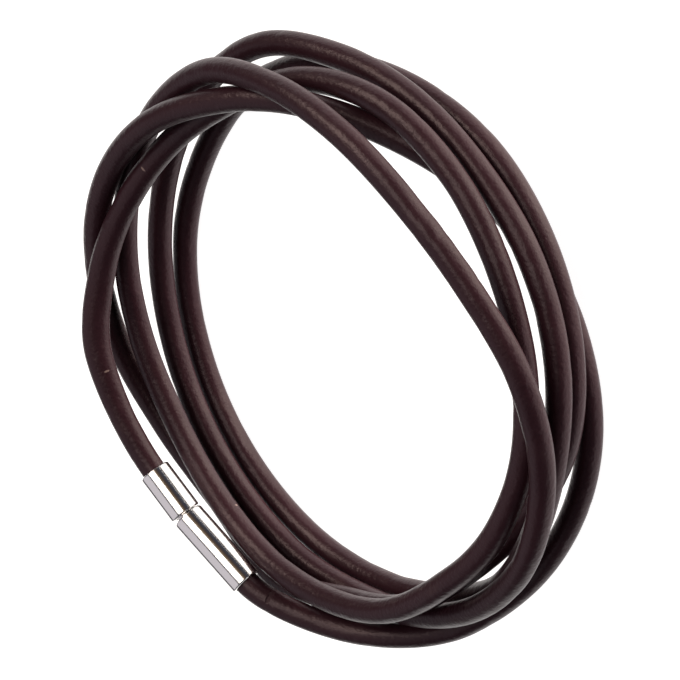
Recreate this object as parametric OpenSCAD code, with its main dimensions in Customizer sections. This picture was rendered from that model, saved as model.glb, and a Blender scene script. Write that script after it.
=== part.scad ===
// Wrap bracelet: one round leather cord wound five times round the wrist, with both of its ends in a
// steel tube clasp of two halves. It lies on its side: +Z is the axis of the loop, and Z = 0 is what it
// lies on. The turns run clockwise seen from above, and start and end at the seam of the clasp.

/* [Loop] */
// Diameter of the loop, across the middle of the cord
loop_d = 64; // [58:1:74]
// Direction of the clasp's seam round the loop, in degrees from +X
clasp_at = 110; // [0:5:355]

/* [Cord] */
// Diameter of the leather cord
cord_d = 3; // [2.4:0.1:3.5]
// Hold of the clasp's line on the cord beyond its mouths: less turns it sooner
mouth_hold = 0.7; // [0.7:0.05:1]
// Gap left behind each end of the cord, at the bottom of its bore
end_gap = 0.2; // [0:0.1:1]

/* [Clasp] */
// Length of the cap, the short half
cap_l = 6.4; // [5:0.2:8]
// Length of the barrel, the long half
barrel_l = 10.8; // [9:0.2:12]
// Wall round the bores that hold the cord
clasp_wall = 0.4; // [0.3:0.05:0.5]
// Clearance all round the cord in its bores
cord_fit = 0.05; // [0.02:0.01:0.1]
// Solid metal between the seam and the bore, in the cap
cap_web = 1.4; // [1.2:0.1:2]
// Solid metal between the seam and the bore, in the barrel
barrel_web = 3; // [2:0.1:4]
// Slope cut off the edges at both ends of each half
edge_cut = 0.2; // [0.1:0.05:0.25]

/* [Seam] */
// Gap between the two halves
seam_gap = 0.3; // [0.3:0.05:0.6]
// Share of the way by which the cap leans from the barrel's line towards the winding's own course
cap_lean = 0.5; // [0:0.05:0.6]
// Diameter of the barrel's neck, which holds the cap
neck_d = 2.4; // [1.6:0.1:2.6]
// How far the neck reaches into the cap
neck_reach = 0.5; // [0.3:0.05:0.6]
// Room round the neck and in front of it, in the cap
neck_play = 0.2; // [0.12:0.01:0.2]

/* [Hidden] */

leather = [0.20, 0.12, 0.11];
steel = [0.78, 0.78, 0.80];
$fn = 64;

// How the winding is stacked. Each row is one direction round the loop, counted from the seam, and
// holds the place of the cord's middle in each of the five turns there as [out, up], both in cord
// diameters: out from the loop's own circle, and up from the surface that the bracelet lies on.
ANGLE = 0;
STACK = [
    // angle, turn 1,   turn 2,       turn 3,       turn 4,       turn 5
    [  0, [-.10, 4.95], [-.55, 3.50], [ .10, 1.75], [-.05, .65], [ .30, 2.80]],
    [ 20, [-.30, 5.20], [-.70, 3.45], [-.10, 1.75], [-.10, .55], [ .35, 3.20]],
    [ 40, [-.10, 5.70], [-.60, 3.70], [-.15, 1.75], [-.15, .50], [ .60, 3.95]],
    [ 60, [-.40, 5.35], [-.30, 3.95], [-.05, 1.80], [-.25, .55], [ .60, 4.70]],
    [ 80, [-.70, 4.85], [ .20, 4.05], [ .20, 1.90], [-.30, .50], [ .40, 5.20]],
    [100, [-.70, 4.25], [ .60, 4.30], [ .75, 1.85], [-.20, .55], [ .10, 5.35]],
    [120, [-.50, 3.70], [ .80, 4.75], [1.05, 1.80], [-.15, .75], [-.30, 5.05]],
    [140, [ .10, 3.40], [ .40, 5.40], [ .55, 1.80], [-.10, .85], [-.45, 4.50]],
    [160, [ .35, 3.40], [ .05, 5.85], [ .25, 1.95], [-.05, .90], [-.75, 3.25]],
    [180, [ .10, 3.45], [-.20, 5.90], [ .20, 2.30], [ .20, 1.20], [-.85, 1.95]],
    [200, [-.20, 3.65], [-.15, 5.50], [ .30, 2.50], [ .15, 1.45], [-.80, .90]],
    [220, [-.40, 3.80], [ .30, 4.80], [ .15, 2.60], [-.05, 1.55], [-.60, .55]],
    [240, [-.40, 4.05], [ .65, 4.20], [ .10, 2.85], [-.25, 1.75], [-.15, .50]],
    [260, [-.50, 4.45], [ .85, 3.90], [ .25, 2.95], [-.70, 2.10], [ .20, .55]],
    [280, [-.75, 4.70], [ .60, 3.35], [ .30, 2.30], [-.80, 2.85], [ .70, 1.00]],
    [300, [-.60, 4.65], [ .30, 2.80], [-.10, 1.65], [-.40, 3.60], [1.25, 1.95]],
    [320, [-.60, 4.30], [ .15, 2.20], [-.10, 1.15], [-.15, 3.25], [1.10, 3.40]],
    [340, [-.50, 3.85], [ .20, 1.95], [-.05, .85], [ .75, 3.05], [ .55, 4.60]],
];
turns = len(STACK[0]) - 1;
last_row = len(STACK) - 1;

// Sides of the cord, and rings from each of its places to the next
cord_sides = 12;
rings_per_place = 3;

function unit(v) = v / norm(v);
function mix(a, b, share) = a * (1 - share) + b * share;

// The place that the stack gives, at an angle round the loop counted from the seam
function place(angle, spot) =
    let (r = loop_d / 2 + spot[0] * cord_d, direction = clasp_at - angle)
    [r * cos(direction), r * sin(direction), spot[1] * cord_d];

// The clasp: the seam is where turn 1 starts, the barrel points back along the end of turn 5, and the
// cap leans a little from the barrel's line towards the start of turn 1.
seam = place(STACK[0][ANGLE], STACK[0][1]);
barrel_way = unit(place(STACK[last_row][ANGLE] - 360, STACK[last_row][turns]) - seam);
course = unit(place(STACK[1][ANGLE], STACK[1][1]) - seam);
cap_way = unit(mix(-barrel_way, course, cap_lean));
bore_d = cord_d + 2 * cord_fit;
clasp_d = bore_d + 2 * clasp_wall;
cap_start = seam + cap_way * seam_gap / 2;
barrel_start = seam + barrel_way * seam_gap / 2;

// The cord's places: straight out of the cap's bore, through the stack, and straight into the barrel's.
// The clasp takes the room of the first two places of turn 1 and of the last of turn 5.
stacked = [for (turn = [1:turns]) for (row = STACK) place(row[ANGLE], row[turn])];
places = concat(
    [cap_start + cap_way * (cap_web + end_gap), cap_start + cap_way * cap_l],
    [for (i = [2:len(stacked) - 2]) stacked[i]],
    [barrel_start + barrel_way * barrel_l, barrel_start + barrel_way * (barrel_web + end_gap)]);
last_place = len(places) - 1;

// The cord's course at a place: along the clasp in its bores, and else from neighbour to neighbour
function heading(i) =
    i < 2 ? cap_way * (i == 1 ? mouth_hold : 1) :
    i > last_place - 2 ? -barrel_way * (i == last_place - 1 ? mouth_hold : 1) :
    (places[i + 1] - places[i - 1]) / (norm(places[i + 1] - places[i]) + norm(places[i] - places[i - 1]));

// A point between two places, on the cubic curve that leaves and meets them along their headings
function between(i, t) =
    let (a = places[i], b = places[i + 1], reach = norm(b - a))
    a * (2 * t * t * t - 3 * t * t + 1) + b * (3 * t * t - 2 * t * t * t)
    + heading(i) * reach * (t * t * t - 2 * t * t + t) + heading(i + 1) * reach * (t * t * t - t * t);

middles = concat(
    [for (i = [0:last_place - 1]) for (s = [0:rings_per_place - 1]) between(i, s / rings_per_place)],
    [places[last_place]]);
last_ring = len(middles) - 1;

// One ring of the cord's surface, square to its course, with a corner at the bottom
function ring(i) =
    let (way = unit(middles[min(i + 1, last_ring)] - middles[max(i - 1, 0)]),
         side = unit(cross(way, [0, 0, 1])),
         top = cross(side, way))
    [for (k = [0:cord_sides - 1])
        middles[i] + cord_d / 2 * (side * cos(360 * k / cord_sides) + top * sin(360 * k / cord_sides))];

skin = [for (i = [0:last_ring]) each ring(i)];
skin_faces = concat(
    [[for (k = [0:cord_sides - 1]) cord_sides - 1 - k]],
    [for (i = [0:last_ring - 1]) for (k = [0:cord_sides - 1])
        let (a = i * cord_sides + k, b = i * cord_sides + (k + 1) % cord_sides)
        each [[a, b, a + cord_sides], [b, b + cord_sides, a + cord_sides]]],
    [[for (k = [0:cord_sides - 1]) last_ring * cord_sides + k]]);

// The origin is below the middle of the whole winding, on the surface that it lies on
function low(axis) = min([for (p = skin) p[axis]]);
function high(axis) = max([for (p = skin) p[axis]]);
to_origin = -[(low(0) + high(0)) / 2, (low(1) + high(1)) / 2, low(2)];

// Stands its children's +Z along a direction, from a point
module along(start, way) {
    translate(start + to_origin)
        rotate([0, acos(way[2]), atan2(way[1], way[0])])
            children();
}

// One turned half of the clasp: seam face at Z = 0, mouth at its length, blind bore from the mouth
module half(length, web) {
    difference() {
        rotate_extrude()
            polygon([
                [0, 0], [clasp_d / 2 - edge_cut, 0], [clasp_d / 2, edge_cut],
                [clasp_d / 2, length - edge_cut], [clasp_d / 2 - edge_cut, length], [0, length]]);
        translate([0, 0, web])
            cylinder(d = bore_d, h = length);
    }
}

module leather_cord() {
    color(leather)
        translate(to_origin)
            polyhedron(points = skin, faces = skin_faces, convexity = 20);
}

module clasp_cap() {
    color(steel)
        along(cap_start, cap_way)
            difference() {
                half(cap_l, cap_web);
                translate([0, 0, -1])
                    cylinder(d = neck_d + 2 * neck_play, h = 1 + neck_reach + neck_play);
            }
}

module clasp_barrel() {
    color(steel)
        along(barrel_start, barrel_way)
            union() {
                half(barrel_l, barrel_web);
                translate([0, 0, -seam_gap - neck_reach])
                    cylinder(d = neck_d, h = seam_gap + neck_reach + barrel_web / 2);
            }
}

leather_cord();
clasp_cap();
clasp_barrel();
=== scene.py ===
# %% [markdown]
# # A leather wrap bracelet
#
# The bracelet is one long round leather cord, wound five times round the wrist, with both of its ends
# held in a polished steel tube clasp. Its solids were made first, in a CAD file. Here they are loaded as
# a fixed frame, in metres, and dressed: the cord becomes a smooth tube with the dents, creases and nicks
# of real leather, and the clasp gets rounded edges and a polish.

import bpy
import numpy as np
from mathutils import Matrix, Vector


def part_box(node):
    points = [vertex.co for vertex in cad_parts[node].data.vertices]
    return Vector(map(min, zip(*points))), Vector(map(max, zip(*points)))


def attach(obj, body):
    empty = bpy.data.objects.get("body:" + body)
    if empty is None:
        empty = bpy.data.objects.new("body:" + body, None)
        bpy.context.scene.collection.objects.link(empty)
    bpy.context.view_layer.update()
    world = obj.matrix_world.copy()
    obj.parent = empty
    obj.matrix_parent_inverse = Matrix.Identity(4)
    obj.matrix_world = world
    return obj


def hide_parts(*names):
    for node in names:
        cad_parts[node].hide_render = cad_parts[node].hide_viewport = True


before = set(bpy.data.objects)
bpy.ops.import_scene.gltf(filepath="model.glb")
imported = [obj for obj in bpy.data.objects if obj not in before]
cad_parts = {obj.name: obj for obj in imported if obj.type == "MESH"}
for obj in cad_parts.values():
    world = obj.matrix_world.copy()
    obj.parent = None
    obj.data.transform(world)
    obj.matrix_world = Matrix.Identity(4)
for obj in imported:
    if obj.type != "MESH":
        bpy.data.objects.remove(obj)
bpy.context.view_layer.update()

# %% [markdown]
# ## Sizes
#
# The same sizes as in the CAD file, in metres. The cord's thickness matters most, because the stack of
# its turns is given in cord diameters, and every other size was read against it.

# %% Sizes of the loop, the cord and the clasp
LOOP_D = 0.064
CORD_D = 0.003
CLASP_AT = 110
SEAM_GAP, CAP_LEAN, MOUTH_HOLD = 0.0003, 0.5, 0.7
CAP_L, CAP_WEB = 0.0064, 0.0014
BARREL_L, BARREL_WEB = 0.0108, 0.003
CLASP_WALL, CORD_FIT, END_GAP = 0.0004, 0.00005, 0.0002
NECK_D, NECK_REACH, NECK_PLAY = 0.0024, 0.0005, 0.0002
print("the loop is", round(LOOP_D / CORD_D, 1), "cords across")

# %% [markdown]
# ## The route of the cord
#
# A cord that is wound five times is easiest to describe as a stack. At each of eighteen directions round
# the loop, one row says how far out and how high the cord's middle lies in each of its five turns. The
# rows are the same as in the CAD file, because the cord has to lie where its solid lies.

# %% The stack of the five turns
# direction from the seam in degrees, then [out, up] of turns 1 to 5, in cord diameters
STACK = [
    (0, [-.10, 4.95], [-.55, 3.50], [.10, 1.75], [-.05, .65], [.30, 2.80]),
    (20, [-.30, 5.20], [-.70, 3.45], [-.10, 1.75], [-.10, .55], [.35, 3.20]),
    (40, [-.10, 5.70], [-.60, 3.70], [-.15, 1.75], [-.15, .50], [.60, 3.95]),
    (60, [-.40, 5.35], [-.30, 3.95], [-.05, 1.80], [-.25, .55], [.60, 4.70]),
    (80, [-.70, 4.85], [.20, 4.05], [.20, 1.90], [-.30, .50], [.40, 5.20]),
    (100, [-.70, 4.25], [.60, 4.30], [.75, 1.85], [-.20, .55], [.10, 5.35]),
    (120, [-.50, 3.70], [.80, 4.75], [1.05, 1.80], [-.15, .75], [-.30, 5.05]),
    (140, [.10, 3.40], [.40, 5.40], [.55, 1.80], [-.10, .85], [-.45, 4.50]),
    (160, [.35, 3.40], [.05, 5.85], [.25, 1.95], [-.05, .90], [-.75, 3.25]),
    (180, [.10, 3.45], [-.20, 5.90], [.20, 2.30], [.20, 1.20], [-.85, 1.95]),
    (200, [-.20, 3.65], [-.15, 5.50], [.30, 2.50], [.15, 1.45], [-.80, .90]),
    (220, [-.40, 3.80], [.30, 4.80], [.15, 2.60], [-.05, 1.55], [-.60, .55]),
    (240, [-.40, 4.05], [.65, 4.20], [.10, 2.85], [-.25, 1.75], [-.15, .50]),
    (260, [-.50, 4.45], [.85, 3.90], [.25, 2.95], [-.70, 2.10], [.20, .55]),
    (280, [-.75, 4.70], [.60, 3.35], [.30, 2.30], [-.80, 2.85], [.70, 1.00]),
    (300, [-.60, 4.65], [.30, 2.80], [-.10, 1.65], [-.40, 3.60], [1.25, 1.95]),
    (320, [-.60, 4.30], [.15, 2.20], [-.10, 1.15], [-.15, 3.25], [1.10, 3.40]),
    (340, [-.50, 3.85], [.20, 1.95], [-.05, .85], [.75, 3.05], [.55, 4.60]),
]
directions = np.array([row[0] for row in STACK], float)
out_up = np.array([row[1:] for row in STACK], float)
print("stack:", out_up.shape[0], "directions,", out_up.shape[1], "turns")

# %% [markdown]
# The clasp takes the room of a few places of the stack. The barrel points back along the end of the last
# turn, the cap leans a little towards the start of the first, and the cord runs straight in both bores.

# %% From the stack to the places that the cord passes


def unit(v):
    """Each vector divided by its own length."""
    return v / np.linalg.norm(v, axis=-1, keepdims=True)


def stack_place(direction, spot):
    """A circle of the loop's radius plus the spot's way out, at the spot's height above the surface."""
    radius = LOOP_D / 2 + spot[..., 0] * CORD_D
    angle = np.radians(CLASP_AT - direction)
    return np.stack([radius * np.cos(angle), radius * np.sin(angle), spot[..., 1] * CORD_D], -1)


stacked = stack_place(directions[:, None], out_up).transpose(1, 0, 2).reshape(-1, 3)
seam = stacked[0]
barrel_way = unit(stack_place(directions[-1] - 360, out_up[-1, -1]) - seam)
course = unit(stacked[1] - seam)
cap_way = unit(-barrel_way * (1 - CAP_LEAN) + course * CAP_LEAN)
cap_start = seam + cap_way * SEAM_GAP / 2
barrel_start = seam + barrel_way * SEAM_GAP / 2
places = np.vstack([
    cap_start + cap_way * (CAP_WEB + END_GAP),
    cap_start + cap_way * CAP_L,
    stacked[2:-1],
    barrel_start + barrel_way * BARREL_L,
    barrel_start + barrel_way * (BARREL_WEB + END_GAP),
])
print("places along the cord:", len(places))

# %% [markdown]
# Between two places the cord follows a cubic curve that leaves and meets them along their headings, so
# the whole line bends smoothly. A finer step than the solid's lets highlights run without corners.

# %% The line through the middle of the cord
STEPS = 24
SOLID_STEPS = 3


def headings(p):
    """At each place the way from the place before it to the one after it, divided by both steps' length.
    The places in the clasp and at its mouths take the clasp's own line instead."""
    gaps = np.linalg.norm(np.diff(p, axis=0), axis=1)
    way = np.empty_like(p)
    way[1:-1] = (p[2:] - p[:-2]) / (gaps[1:] + gaps[:-1])[:, None]
    way[0], way[1] = cap_way, cap_way * MOUTH_HOLD
    way[-1], way[-2] = -barrel_way, -barrel_way * MOUTH_HOLD
    return way


def middle_line(p, steps):
    """The cubic from a to b: a(2t3 - 3t2 + 1) + b(3t2 - 2t3), plus their distance times the sum of
    a's heading times (t3 - 2t2 + t) and b's heading times (t3 - t2)."""
    t = (np.arange(steps) / steps)[None, :, None]
    a, b = p[:-1, None], p[1:, None]
    way = headings(p)
    reach = np.linalg.norm(b - a, axis=-1, keepdims=True)
    line = (
        a * (2 * t**3 - 3 * t**2 + 1) + b * (3 * t**2 - 2 * t**3)
        + way[:-1, None] * reach * (t**3 - 2 * t**2 + t) + way[1:, None] * reach * (t**3 - t**2)
    )
    return np.vstack([line.reshape(-1, 3), p[-1:]])


def cross_axes(line):
    """Level sideways and upward directions, square to the line at each of its points."""
    way = unit(np.vstack([line[1:2] - line[:1], line[2:] - line[:-2], line[-1:] - line[-2:-1]]))
    side = unit(np.cross(way, [0, 0, 1]))
    return side, np.cross(side, way)


def ring_surface(line, radius, around):
    """The middle line plus radius times the cosine of the angle sideways and its sine upwards."""
    side, top = cross_axes(line)
    return line[:, None] + radius[..., None] * (
        side[:, None] * np.cos(around)[None, :, None] + top[:, None] * np.sin(around)[None, :, None])


# %% [markdown]
# The CAD file moves the whole winding so that the origin is below its middle, on the surface that it
# lies on. The same twelve-sided rings give the same shift here, and the loaded solid shows it is right.

# %% Shift to the frame of the solids
SOLID_SIDES = 12
solid_around = np.arange(SOLID_SIDES) * 2 * np.pi / SOLID_SIDES
solid_line = middle_line(places, SOLID_STEPS)
coarse = ring_surface(solid_line, np.full((1, 1), CORD_D / 2), solid_around).reshape(-1, 3)
low, high = coarse.min(0), coarse.max(0)
to_origin = -np.array([(low[0] + high[0]) / 2, (low[1] + high[1]) / 2, low[2]])
solid_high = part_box("leather_cord")[1]
middle = middle_line(places + to_origin, STEPS)
along = np.concatenate([[0], np.cumsum(np.linalg.norm(np.diff(middle, axis=0), axis=1))])
print("shift, mm:", np.round(1000 * to_origin, 3))
print("length of the cord, mm:", round(1000 * along[-1], 1))
print("off the solid, mm:", np.round(1000 * (high + to_origin - np.array(solid_high)), 4))

# %% [markdown]
# ## Camera
#
# The photograph looks down on the bracelet at 42 degrees with a long lens, and the camera is rolled far
# round, so that the loop stands up in the picture. A long lens keeps the near and the far side of a small
# thing almost the same size.

# %% Camera at the photograph's angle
CAMERA_ELEVATION, CAMERA_ROLL = np.radians(42), np.radians(-114.5)
CAMERA_DISTANCE, NEAREST, FURTHEST = 0.4, 0.01, 20
CAMERA_TARGET = np.array([0.0005, -0.0003, 0.008]) + to_origin
FOCAL_PIXELS, PICTURE_PIXELS = 3508, 680


def camera_axes(elevation, roll):
    """Right, up and back: an upright camera on the -Y side, then turned about its own view line."""
    sin, cos = np.sin(elevation), np.cos(elevation)
    right, up, back = np.array([1, 0, 0]), np.array([0, sin, cos]), np.array([0, -cos, sin])
    return (
        right * np.cos(roll) + up * np.sin(roll),
        up * np.cos(roll) - right * np.sin(roll),
        back,
    )


def stand(thing, right, up, back, place):
    """Puts a camera or a lamp at a place, with its own three directions as the columns of its matrix."""
    pose = np.eye(4)
    pose[:3] = np.column_stack([right, up, back, place])
    thing.matrix_world = Matrix(pose.tolist())


camera_data = bpy.data.cameras.new("camera")
camera = bpy.data.objects.new("camera", camera_data)
bpy.context.scene.collection.objects.link(camera)
camera_data.lens = camera_data.sensor_width * FOCAL_PIXELS / PICTURE_PIXELS
camera_data.clip_start = NEAREST
camera_data.clip_end = FURTHEST
right, up, back = camera_axes(CAMERA_ELEVATION, CAMERA_ROLL)
camera_place = CAMERA_TARGET + back * CAMERA_DISTANCE
stand(camera, right, up, back, camera_place)
bpy.context.scene.camera = camera
print("lens, mm:", round(camera_data.lens, 1), "camera at, mm:", np.round(1000 * camera_place, 1))

# %% [markdown]
# ## The leather cord
#
# Real leather cord is never an exact tube. It was cut as a strip and rounded, so its thickness wanders, it
# has shallow dents everywhere, and it keeps a kink from every sharp bend. These are large enough to show
# in its outline, so they are real relief in the mesh; the fine grain comes later, in the material.

# %% Relief of the leather: wandering thickness, dents and kinks
rng = np.random.default_rng(7)
SIDES = 40
AROUND = np.arange(SIDES) * 2 * np.pi / SIDES
WAVES, SHORT_WAVE, LONG_WAVE = 9, 0.012, 0.045
WANDERS, SUNK = 0.00003, 0.000012


def wander():
    """The mean of slow sine waves along the cord, each with its own random length and start."""
    waves = 2 * np.pi / rng.uniform(SHORT_WAVE, LONG_WAVE, WAVES)
    starts = rng.uniform(0, 2 * np.pi, WAVES)
    return np.sin(along[:, None] * waves + starts).sum(1) / WAVES


def dent(place, angle, length, width, depth):
    """The depth times a bell curve along the cord times a bell curve of the angle round it."""
    turned_by = np.angle(np.exp(1j * (AROUND - angle)))
    return depth * np.exp(-((along - place) / length)[:, None] ** 2) * np.exp(-(turned_by / width)[None] ** 2)


def dents(count, length, width, depth):
    """The sum of so many dents at random places, with sizes between the two numbers of each pair."""
    draws = (
        rng.uniform(0, along[-1], count), rng.uniform(0, 2 * np.pi, count),
        rng.uniform(*length, count), rng.uniform(*width, count), rng.uniform(*depth, count))
    total = np.zeros((len(along), SIDES))
    for numbers in zip(*draws):
        total += dent(*numbers)
    return total


relief = (
    -SUNK + WANDERS * wander()[:, None]
    - dents(count=260, length=(0.001, 0.004), width=(0.3, 0.9), depth=(0.00002, 0.00008))
    - dents(count=900, length=(0.0004, 0.0008), width=(0.2, 0.7), depth=(0.00001, 0.00004))
)
# two kinks on the second turn, and the thick stretch of cord past the cap
relief -= dent(place=0.2970, angle=2.9, length=0.0020, width=0.9, depth=0.00025)
relief -= dent(place=0.3005, angle=3.1, length=0.0006, width=0.8, depth=0.00018)
relief += dent(place=0.0250, angle=-0.7, length=0.0100, width=0.9, depth=0.00038)
print("relief, mm:", round(1000 * relief.min(), 3), "to", round(1000 * relief.max(), 3))

# %% [markdown]
# One helper makes every piece from here on. It takes a surface as a grid of points, rings of equal count
# one after the other, joins each ring to the next, and closes the first and the last ring with one face.

# %% Make a mesh from rings
def ring_mesh(name, rings, body):
    """Corner k of ring i is point i * corners + k, and each face joins two neighbours to the next ring."""
    count, corners = rings.shape[:2]
    i, k = np.meshgrid(np.arange(count - 1), np.arange(corners), indexing="ij")
    a, b = i * corners + k, i * corners + (k + 1) % corners
    quads = np.stack([a, b, b + corners, a + corners], -1).reshape(-1, 4)
    first, last = np.arange(corners)[::-1], np.arange(corners) + (count - 1) * corners
    p = rings.reshape(-1, 3)
    # faces that point inwards give a negative volume, and are turned round
    volume = np.einsum("ij,ij->i", p[quads[:, 0]], np.cross(p[quads[:, 1]], p[quads[:, 2]])).sum()
    volume += np.einsum("ij,ij->i", p[quads[:, 0]], np.cross(p[quads[:, 2]], p[quads[:, 3]])).sum()
    if volume < 0:
        quads, first, last = quads[:, ::-1], first[::-1], last[::-1]
    mesh = bpy.data.meshes.new(name)
    mesh.vertices.add(len(p))
    mesh.vertices.foreach_set("co", p.astype(np.float32).ravel())
    loops = np.concatenate([quads.ravel(), first, last]).astype(np.int32)
    sizes = np.concatenate([np.full(len(quads), 4), [corners, corners]])
    mesh.loops.add(len(loops))
    mesh.loops.foreach_set("vertex_index", loops)
    mesh.polygons.add(len(sizes))
    mesh.polygons.foreach_set("loop_start", (np.cumsum(sizes) - sizes).astype(np.int32))
    mesh.update(calc_edges=True)
    mesh.validate()
    mesh.shade_smooth()
    piece = bpy.data.objects.new(name, mesh)
    bpy.context.scene.collection.objects.link(piece)
    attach(piece, body)
    print(name, len(p), "points,", 2 * len(quads) + 2 * (corners - 2), "triangles")
    return piece


# %% [markdown]
# The pattern of the leather has to follow the cord round all its turns. So each point of the skin also
# keeps its place on the same cord pulled straight: how far along it is, and where it is in the round.

# %% The cord's skin
skin = ring_surface(middle, CORD_D / 2 + relief, AROUND)
cord = ring_mesh("leather_cord_skin", skin, "root")
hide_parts("leather_cord")
straight = np.empty(skin.shape, np.float32)
straight[..., 0] = along[:, None]
straight[..., 1] = np.cos(AROUND) * CORD_D / 2
straight[..., 2] = np.sin(AROUND) * CORD_D / 2
attribute = cord.data.attributes.new("straight_cord", "FLOAT_VECTOR", "POINT")
attribute.data.foreach_set("vector", straight.ravel())

# %% [markdown]
# ## The tube clasp
#
# The clasp is two turned steel cups. A lathe makes such a part from one profile, and so does this cell:
# the profile of the cup, with every edge rounded over, is turned about the line of the cord.

# %% Turned halves of the clasp
EDGE_ROUND, RIM_ROUND = 0.00026, 0.00007
ARC_POINTS, BEYOND, SPOKES = 7, 1.25, 96
CLASP_R = CORD_D / 2 + CORD_FIT + CLASP_WALL
BORE_R = CORD_D / 2 + CORD_FIT


def rounded(corners):
    """Each corner gives way to an arc between the points that lie its radius away on its two sides, and
    one more point beyond each end of the arc keeps the straight run flat."""
    profile = []
    for i, (r, z, radius) in enumerate(corners):
        here = np.array([r, z])
        if radius == 0:
            profile.append(here[None])
            continue
        to_last = unit(np.array(corners[i - 1][:2]) - here)
        to_next = unit(np.array(corners[i + 1][:2]) - here)
        t = np.linspace(0, np.pi / 2, ARC_POINTS)[:, None]
        centre = here + (to_last + to_next) * radius
        arc = centre - to_next * radius * np.cos(t) - to_last * radius * np.sin(t)
        ends = here + to_last * radius * BEYOND, here + to_next * radius * BEYOND
        profile.append(np.vstack([ends[0], arc, ends[1]]))
    return np.vstack(profile)


def turned(profile, start, way):
    """Each profile point goes its second number along the axis and its first outwards, at every angle."""
    side = unit(np.cross(way, [0, 0, 1]))
    top = np.cross(side, way)
    angle = np.arange(SPOKES) * 2 * np.pi / SPOKES
    spoke = np.cos(angle)[:, None] * side + np.sin(angle)[:, None] * top
    return start + to_origin + profile[:, 1, None, None] * way + profile[:, 0, None, None] * spoke


# a ring this small round the axis is closed with one flat face
TINY = 0.00005
socket_r, socket_deep = NECK_D / 2 + NECK_PLAY, NECK_REACH + NECK_PLAY
cap_profile = rounded([
    (TINY, socket_deep, 0), (socket_r, socket_deep, RIM_ROUND), (socket_r, 0, RIM_ROUND),
    (CLASP_R, 0, EDGE_ROUND), (CLASP_R, CAP_L, EDGE_ROUND), (BORE_R, CAP_L, RIM_ROUND),
    (BORE_R, CAP_WEB, RIM_ROUND), (TINY, CAP_WEB, 0)])
barrel_profile = rounded([
    (TINY, -SEAM_GAP - NECK_REACH, 0), (NECK_D / 2, -SEAM_GAP - NECK_REACH, RIM_ROUND),
    (NECK_D / 2, 0, RIM_ROUND), (CLASP_R, 0, EDGE_ROUND), (CLASP_R, BARREL_L, EDGE_ROUND),
    (BORE_R, BARREL_L, RIM_ROUND), (BORE_R, BARREL_WEB, RIM_ROUND), (TINY, BARREL_WEB, 0)])
cap_rings = turned(cap_profile, cap_start, cap_way)
barrel_rings = turned(barrel_profile, barrel_start, barrel_way)
cap = ring_mesh("clasp_cap_turned", cap_rings, "root")
barrel = ring_mesh("clasp_barrel_turned", barrel_rings, "root")
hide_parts("clasp_cap")
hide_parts("clasp_barrel")

# %% [markdown]
# ## Finishes
#
# A finish is a small network of nodes. Written as sums and products it is much easier to read, so one
# class wraps the end of a wire in the network: adding or multiplying wires adds the node that does it.

# %% Sums on wires
class Wire:
    """One value on its way through a material. A sum or product of wires adds a Math node."""

    def __init__(self, tree, socket=None):
        self.tree, self.socket = tree, socket

    def add(self, kind, settings, sockets, output=0):
        """Adds a node: its type, then its settings, then a value or a wire for each socket."""
        made = self.tree.nodes.new(kind)
        for name, value in settings.items():
            if name == "stops":
                ramp = made.color_ramp.elements
                while len(ramp) < len(value):
                    ramp.new(1)
                for element, (position, colour) in zip(ramp, value):
                    element.position, element.color = position, (*colour, 1)
            else:
                setattr(made, name, value)
        for name, value in sockets.items():
            if isinstance(value, Wire):
                self.tree.links.new(value.socket, made.inputs[name])
            else:
                made.inputs[name].default_value = value
        return Wire(self.tree, made.outputs[output])

    def maths(self, operation, *values):
        """One operation on wires and plain numbers."""
        return self.add("ShaderNodeMath", {"operation": operation}, dict(enumerate(values)))

    def __add__(self, other):
        return self.maths("ADD", self, other)

    def __sub__(self, other):
        return self.maths("SUBTRACT", self, other)

    def __mul__(self, other):
        return self.maths("MULTIPLY", self, other)

    __radd__, __rmul__ = __add__, __mul__

    def __rsub__(self, other):
        return self.maths("SUBTRACT", other, self)

    def fade(self, start, end):
        """0 below start, 1 above end, and a smooth rise between them."""
        return self.add("ShaderNodeMapRange", {"interpolation_type": "SMOOTHSTEP"},
                        {"Value": self, "From Min": start, "From Max": end})


def new_finish(name):
    """A material with nothing but its shader and a wire to build from."""
    material = bpy.data.materials.new(name)
    material.use_nodes = True
    tree = material.node_tree
    return material, Wire(tree), tree.nodes["Principled BSDF"]


def noise(wire, place, scale, detail, rough=0.5, squeeze=(1, 1, 1)):
    """Cloudy noise with about so many clouds to the metre, squeezed by its own factor each way."""
    squeezed = wire.add("ShaderNodeVectorMath", {"operation": "MULTIPLY"}, {0: place, 1: squeeze})
    return wire.add("ShaderNodeTexNoise", {"noise_dimensions": "3D"},
                    {"Vector": squeezed, "Scale": scale, "Detail": detail, "Roughness": rough})


# %% [markdown]
# The leather is a very dark reddish brown with a dull gloss. A smooth brown tube would look like plastic:
# what tells leather is how its shine breaks up. So the bumps have four sizes, from low lumps two
# millimetres long, over mottling, and patches of fine wrinkles across the cord, down to the pores.

# %% Patterns on the leather
leather, w, shader = new_finish("dyed_leather")
spot = w.add("ShaderNodeAttribute", {"attribute_name": "straight_cord"}, {}, "Vector")
drift = noise(w, spot, 60, 3)
lumps = noise(w, spot, 420, 3, 0.55, (0.8, 1, 1))
mottle = noise(w, spot, 2000, 2)
patches = noise(w, spot, 130, 2).fade(0.52, 0.68)
wrinkles = noise(w, spot, 900, 3, 0.6, (3, 0.5, 0.5)).fade(0.4, 0.75) * patches
pores = noise(w, spot, 4500, 2, 0.6)
worn = noise(w, spot, 300, 4, 0.65, (0.5, 1, 1)).fade(0.60, 0.78)
print("nodes in the leather so far:", len(w.tree.nodes))

# %% [markdown]
# A few marks are too sharp for the mesh. Pale nicks show the raw leather under the dye, and one dark
# crack runs across the cord just outside the barrel. Each is a small egg shape on the straight cord.

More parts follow.
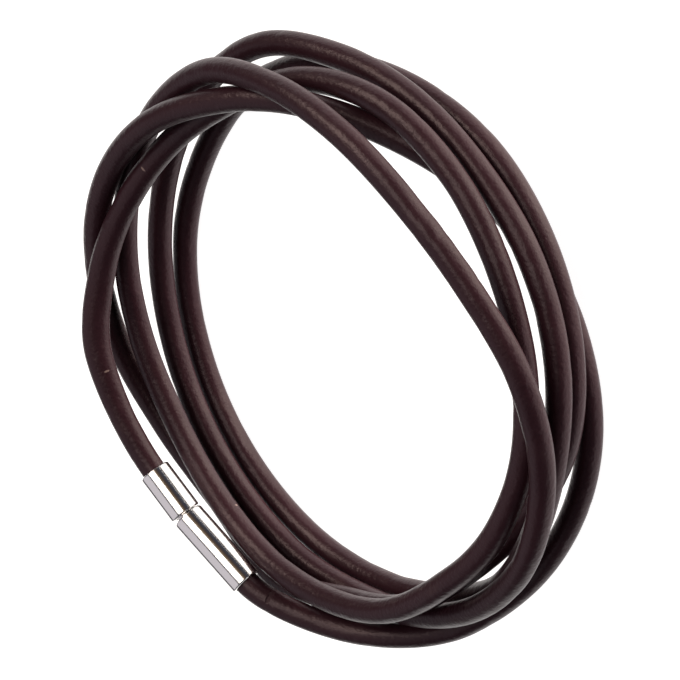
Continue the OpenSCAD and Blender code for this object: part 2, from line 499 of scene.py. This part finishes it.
# %% Nicks and a crack
NICK_SIZE, CRACK_SIZE = (0.00016, 0.00045, 0.00045), (0.00035, 0.0012, 0.0012)
# how far along the cord, in metres, and the angle round it
NICKS = ((0.0185, 0.4), (0.1915, -0.38), (0.3970, 1.95), (0.0470, 1.47))
CRACK = (0.9997, 0.58)


def mark(place, angle, size):
    """1 inside a small egg shape with a ragged edge at a place on the straight cord, 0 outside it."""
    centre = (place, np.cos(angle) * CORD_D / 2, np.sin(angle) * CORD_D / 2)
    ragged = w.add("ShaderNodeTexNoise", {}, {"Vector": spot, "Scale": 1500, "Detail": 2}, "Color")
    ragged = w.add("ShaderNodeVectorMath", {"operation": "SUBTRACT"}, {0: ragged, 1: (0.5, 0.5, 0.5)})
    away = w.add("ShaderNodeVectorMath", {"operation": "SUBTRACT"}, {0: spot, 1: centre})
    away = w.add("ShaderNodeVectorMath", {"operation": "DIVIDE"}, {0: away, 1: size})
    away = w.add("ShaderNodeVectorMath", {"operation": "ADD"}, {0: away, 1: ragged})
    return 1 - w.add("ShaderNodeVectorMath", {"operation": "LENGTH"}, {0: away}, "Value").fade(0.5, 1.0)


nicks = mark(*NICKS[0], NICK_SIZE)
for nick in NICKS[1:]:
    nicks = nicks + mark(*nick, NICK_SIZE)
crack = mark(*CRACK, CRACK_SIZE)
print("marks on the leather:", len(NICKS) + 1)

# %% [markdown]
# The colour drifts between two browns over a few centimetres, and turns paler where it is rubbed or
# nicked. The same patterns steer the roughness, so that a rubbed place is dull as well as pale, and the
# bumps, each of which stands up by its own height.

# %% Leather finish
REDDISH, BROWNISH = (0.0138, 0.0042, 0.0066, 1), (0.0170, 0.0057, 0.0084, 1)
RUBBED, RAW = (0.045, 0.024, 0.021, 1), (0.30, 0.22, 0.20, 1)
LUMP_HIGH, MOTTLE_HIGH = 0.00011, 0.00006
WRINKLE_HIGH, PORE_HIGH, CRACK_DEEP = 0.000015, 0.000016, 0.0001
RUBBED_SHARE, RAW_SHARE, SMOOTHEST = 0.25, 0.4, 0.22
SHINE, SHINE_TINT = 0.25, (1, 0.84, 0.88, 1)


def mix(factor, a, b):
    """Colour a where the factor is 0 and colour b where it is 1."""
    return w.add("ShaderNodeMix", {"data_type": "RGBA"}, {"Factor": factor, "A": a, "B": b}, 2)


brown = mix(drift.fade(0.35, 0.65), REDDISH, BROWNISH)
colour = mix(nicks * RAW_SHARE, mix(worn * RUBBED_SHARE, brown, RUBBED), RAW)
roughness = SMOOTHEST + lumps * 0.12 + pores * 0.16 + worn * 0.05 + crack * 0.3
height = lumps * LUMP_HIGH + mottle * MOTTLE_HIGH + wrinkles * WRINKLE_HIGH + pores * PORE_HIGH
height = height - crack * CRACK_DEEP
bump = w.add("ShaderNodeBump", {}, {"Height": height, "Distance": 1.0, "Strength": 1.0})
w.tree.links.new(colour.socket, shader.inputs["Base Color"])
w.tree.links.new(roughness.socket, shader.inputs["Roughness"])
w.tree.links.new(bump.socket, shader.inputs["Normal"])
shader.inputs["Specular IOR Level"].default_value = SHINE
shader.inputs["Specular Tint"].default_value = SHINE_TINT
cord.data.materials.append(leather)
print("nodes in the leather:", len(w.tree.nodes))

# %% [markdown]
# The clasp is polished stainless steel. Polishing leaves hair-fine lines round the tube, which widen its
# reflections a little, and handling leaves faint smears.

# %% Steel finish
STEEL_COLOUR, POLISHED, SMEARED = (0.83, 0.82, 0.81, 1), 0.09, 0.07
SHARP_ANGLE = np.radians(40)
steel, w, shader = new_finish("polished_steel")
spot = w.add("ShaderNodeTexCoord", {}, {}, "Object")
smears = noise(w, spot, 500, 3)
shader.inputs["Base Color"].default_value = STEEL_COLOUR
shader.inputs["Metallic"].default_value = 1
w.tree.links.new((POLISHED + smears * SMEARED).socket, shader.inputs["Roughness"])
for piece in (cap, barrel):
    piece.data.materials.append(steel)
    piece.data.set_sharp_from_angle(angle=SHARP_ANGLE)
print("nodes in the steel:", len(w.tree.nodes))

# %% [markdown]
# ## The studio
#
# Leather and steel show what is around them, so the studio is built from what the clasp reflects across
# its width in the photograph: white floor, then a dark stretch of room in front, then a large soft lamp
# high in front, and a pale lilac wall behind. First comes the floor. It glows almost white, as a sheet
# does that is lit from below too, so it is as white under the bracelet as beside it.

# %% Floor
def panel(name, corners, colour, roughness):
    """A flat sheet of the studio with four corners, and the wire and the shader of its finish."""
    mesh = bpy.data.meshes.new(name)
    mesh.from_pydata(corners, [], [(0, 1, 2, 3)])
    sheet = bpy.data.objects.new(name, mesh)
    bpy.context.scene.collection.objects.link(sheet)
    finish, w, shader = new_finish(name)
    shader.inputs["Base Color"].default_value = (*colour, 1)
    shader.inputs["Roughness"].default_value = roughness
    mesh.materials.append(finish)
    return sheet, w, shader


FLOOR_REACH, FLOOR_DROP = 1.5, 0.0001
FLOOR_GREY, FLOOR_ROUGH, FLOOR_GLOW = (0.4, 0.4, 0.4), 0.7, 0.95
square = ((-1, -1), (1, -1), (1, 1), (-1, 1))
floor_corners = [(x * FLOOR_REACH, y * FLOOR_REACH, -FLOOR_DROP) for x, y in square]
floor, w, shader = panel("floor", floor_corners, FLOOR_GREY, FLOOR_ROUGH)
shader.inputs["Emission Color"].default_value = (1, 1, 1, 1)
shader.inputs["Emission Strength"].default_value = FLOOR_GLOW
floor.visible_shadow = False
print("floor, m across:", 2 * FLOOR_REACH)

# %% [markdown]
# The dark stretch is a card that stands in front of the bracelet, where only reflections show it. It is no
# lamp, yet it glows. Its glow is painted shade and painted reflection that changes with height: blue-black at
# its foot, brown higher up, and pale at its top.

# %% Card in front, glowing with painted shade and painted reflection
CARD_AWAY, CARD_LEFT, CARD_RIGHT, CARD_TOP = 0.30, -0.25, 0.40, 0.345
card_edge = ((CARD_LEFT, 0), (CARD_RIGHT, 0), (CARD_RIGHT, CARD_TOP), (CARD_LEFT, CARD_TOP))
card, w, shader = panel("painted_reflection_card", [(x, -CARD_AWAY, z) for x, z in card_edge], (0, 0, 0), 1.0)
on_card = w.add("ShaderNodeTexCoord", {}, {}, "Object")
share_up = w.add("ShaderNodeSeparateXYZ", {}, {"Vector": on_card}, "Z") * (1 / CARD_TOP)
# painted shade and painted reflection: the card's glow by height, which only the steel and the leather show
glow = w.add("ShaderNodeValToRGB", {"stops": [
    (0.04, (0.050, 0.062, 0.090)), (0.23, (0.040, 0.043, 0.058)), (0.40, (0.045, 0.036, 0.040)),
    (0.66, (0.085, 0.055, 0.036)), (0.86, (0.20, 0.14, 0.08)), (1.0, (0.45, 0.36, 0.27))]}, {"Fac": share_up})
w.tree.links.new(glow.socket, shader.inputs["Emission Color"])
shader.inputs["Emission Strength"].default_value = 1
shader.inputs["Specular IOR Level"].default_value = 0
card.visible_camera = card.visible_shadow = False
print("card, m high:", CARD_TOP)

# %% [markdown]
# The leather needs more than the clasp does. Its brown highlights at the upper right of the turns come
# from a lamp under the floor, in front, which the floor lets through, and a second lamp stands at the
# side. Both are warm, while the wall behind and the room itself are a pale lilac.

# %% Lamps and room
def soft_lamp(name, side_angle, height_angle, away, size, glow, colour):
    """A square lamp that faces the bracelet. Its energy is its glow times pi times its area."""
    turn, lift = np.radians(side_angle), np.radians(height_angle)
    out = np.array([np.sin(turn) * np.cos(lift), -np.cos(turn) * np.cos(lift), np.sin(lift)])
    data = bpy.data.lights.new(name, "AREA")
    data.shape = "SQUARE"
    data.size = size
    data.color = colour
    data.energy = glow * np.pi * size**2
    lamp = bpy.data.objects.new(name, data)
    bpy.context.scene.collection.objects.link(lamp)
    side = unit(np.cross([0, 0.02, 1], out))
    stand(lamp, side, np.cross(out, side), out, out * away)
    lamp.visible_camera = False


ROOM_COLOUR, ROOM_GLOW = (0.80, 0.78, 0.86, 1), 0.13
# name, angle from the front towards +X, angle above the floor, distance, size, glow, colour
soft_lamp("lamp_above", 26, 66, 1.07, 0.78, 3.2, (1, 0.92, 0.84))
soft_lamp("lamp_side", 85, 45, 1.0, 0.5, 9, (1, 0.86, 0.74))
soft_lamp("lamp_under_table", 16, -42, 0.5, 0.4, 19, (1, 0.86, 0.74))
soft_lamp("pale_wall_behind", 188, 52, 1.1, 1.3, 0.56, (1, 0.93, 0.98))
room = bpy.data.worlds.new("room")
bpy.context.scene.world = room
room.use_nodes = True
background = room.node_tree.nodes["Background"]
background.inputs["Color"].default_value = ROOM_COLOUR
background.inputs["Strength"].default_value = ROOM_GLOW
bpy.context.scene.view_settings.view_transform = "Standard"
print("lamps:", len(bpy.data.lights))

# %% [markdown]
# ## The pieces that show
#
# The names of the pieces that show are written out.

# %% Names of the pieces that show
print("pieces that show:", cord.name, cap.name, barrel.name)
